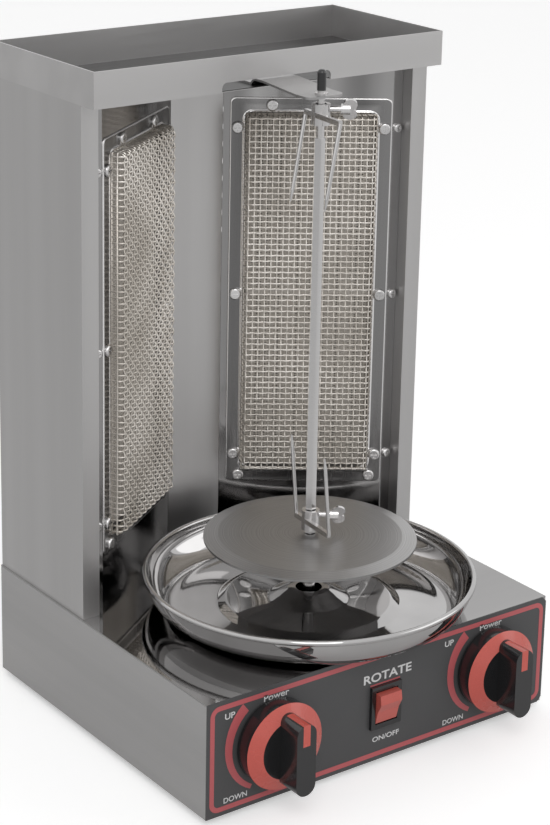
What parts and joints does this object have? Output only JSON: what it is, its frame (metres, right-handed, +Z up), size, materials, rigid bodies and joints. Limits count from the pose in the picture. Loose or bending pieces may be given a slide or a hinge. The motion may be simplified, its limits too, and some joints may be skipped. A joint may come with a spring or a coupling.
{
  "type": "vertical broiler",
  "caption": "Counter-top vertical rotisserie: slanted gas burners with mesh cages behind a motor-driven spit, drip pan, warming tray on top and knobs with a rocker switch in front.",
  "frame": {"origin": "middle of the bounding box at the bottom of the feet", "axes": "+Z up along the spit, +X to the right seen from the front, +Y to the back"},
  "size_m": [0.29, 0.316, 0.4673],
  "materials": {
    "brushed": "brushed",
    "mirror_steel": "mirror polish",
    "bright": "bright polish",
    "mesh": "woven wire",
    "screw": "satin",
    "ceramic": "matt, porous",
    "zinc": "galvanised",
    "brass": "machined",
    "alu": "as drawn",
    "overlay": "satin film",
    "black": "gloss",
    "red": "gloss",
    "rubber": "matt",
    "nylon": "moulded"
  },
  "bodies": {
    "chassis": {"arm_bush": "brass", "back_panel": "brushed", "base_wrap": "brushed", "bottom_cover": "zinc", "burner_screws": "screw", "centre_panel": "brushed", "chassis_screws": "screw", "control_overlay": "overlay", "cord_gland": "black", "deck_plate": "mirror_steel", "feet": "rubber", "front_plate": "zinc", "gas_inlet": "brass", "gas_manifold": "alu", "gear_motor": "zinc", "injectors": "brass", "left_burner_frame": "mirror_steel", "left_burner_housing": "zinc", "left_burner_plate": "mirror_steel", "left_ceramic_tiles": "ceramic", "left_feed_tube": "alu", "left_gas_valve": "brass", "left_mesh_cage": "mesh", "left_mixing_tube": "alu", "left_side_panel": "brushed", "motor_bracket": "zinc", "right_burner_frame": "mirror_steel", "right_burner_housing": "zinc", "right_burner_plate": "mirror_steel", "right_ceramic_tiles": "ceramic", "right_feed_tube": "alu", "right_gas_valve": "brass", "right_mesh_cage": "mesh", "right_mixing_tube": "alu", "right_side_panel": "brushed", "shaft_bush": "brass", "spit_arm": "brushed", "switch_bezel": "black", "switch_body": "black", "terminal_block": "nylon", "top_cover": "brushed", "top_tray": "brushed"},
    "spit": {"spit_shaft": "bright", "spit_cross_pin": "screw", "spit_cap": "black", "meat_disc": "brushed", "drive_coupling": "bright", "drive_shaft": "alu"},
    "upper_clamp": {"upper_fork": "bright"},
    "lower_clamp": {"lower_fork": "bright"},
    "upper_screw": {"upper_wing_screw": "screw"},
    "lower_screw": {"lower_wing_screw": "screw"},
    "left_control": {"left_knob": "black", "left_knob_marker": "red", "left_valve_stem": "brass"},
    "right_control": {"right_knob": "black", "right_knob_marker": "red", "right_valve_stem": "brass"},
    "rocker": {"switch_rocker": "red"},
    "pan": {"drip_pan": "bright"}
  },
  "joints": [
    {"name": "spit_spin", "type": "hinge", "parent": "chassis", "child": "spit", "pos_m": [0, -0.036, 0.1], "axis": [0, 0, 1], "continuous": true},
    {"name": "upper_fork_slide", "type": "slide", "parent": "spit", "child": "upper_clamp", "axis": [0, 0, 1], "range_m": [-0.11, 0]},
    {"name": "lower_fork_slide", "type": "slide", "parent": "spit", "child": "lower_clamp", "axis": [0, 0, 1], "range_m": [0, 0.05]},
    {"name": "upper_screw_turn", "type": "hinge", "parent": "upper_clamp", "child": "upper_screw", "pos_m": [0, -0.036, 0.4366], "axis": [0.8192, -0.5736, 0], "range_deg": [0, 360]},
    {"name": "lower_screw_turn", "type": "hinge", "parent": "lower_clamp", "child": "lower_screw", "pos_m": [0, -0.036, 0.1519], "axis": [0.8192, -0.5736, 0], "range_deg": [0, 360]},
    {"name": "left_knob_turn", "type": "hinge", "parent": "chassis", "child": "left_control", "pos_m": [-0.093, -0.122, 0.0479], "axis": [0, -1, 0], "range_deg": [0, 150]},
    {"name": "right_knob_turn", "type": "hinge", "parent": "chassis", "child": "right_control", "pos_m": [0.093, -0.122, 0.0479], "axis": [0, -1, 0], "range_deg": [0, 150]},
    {"name": "rocker_tip", "type": "hinge", "parent": "chassis", "child": "rocker", "pos_m": [0, -0.1215, 0.045], "axis": [-1, 0, 0], "range_deg": [0, 12]},
    {"name": "pan_lift", "type": "slide", "parent": "chassis", "child": "pan", "axis": [0, 0, 1], "range_m": [0, 0.025]}
  ]
}
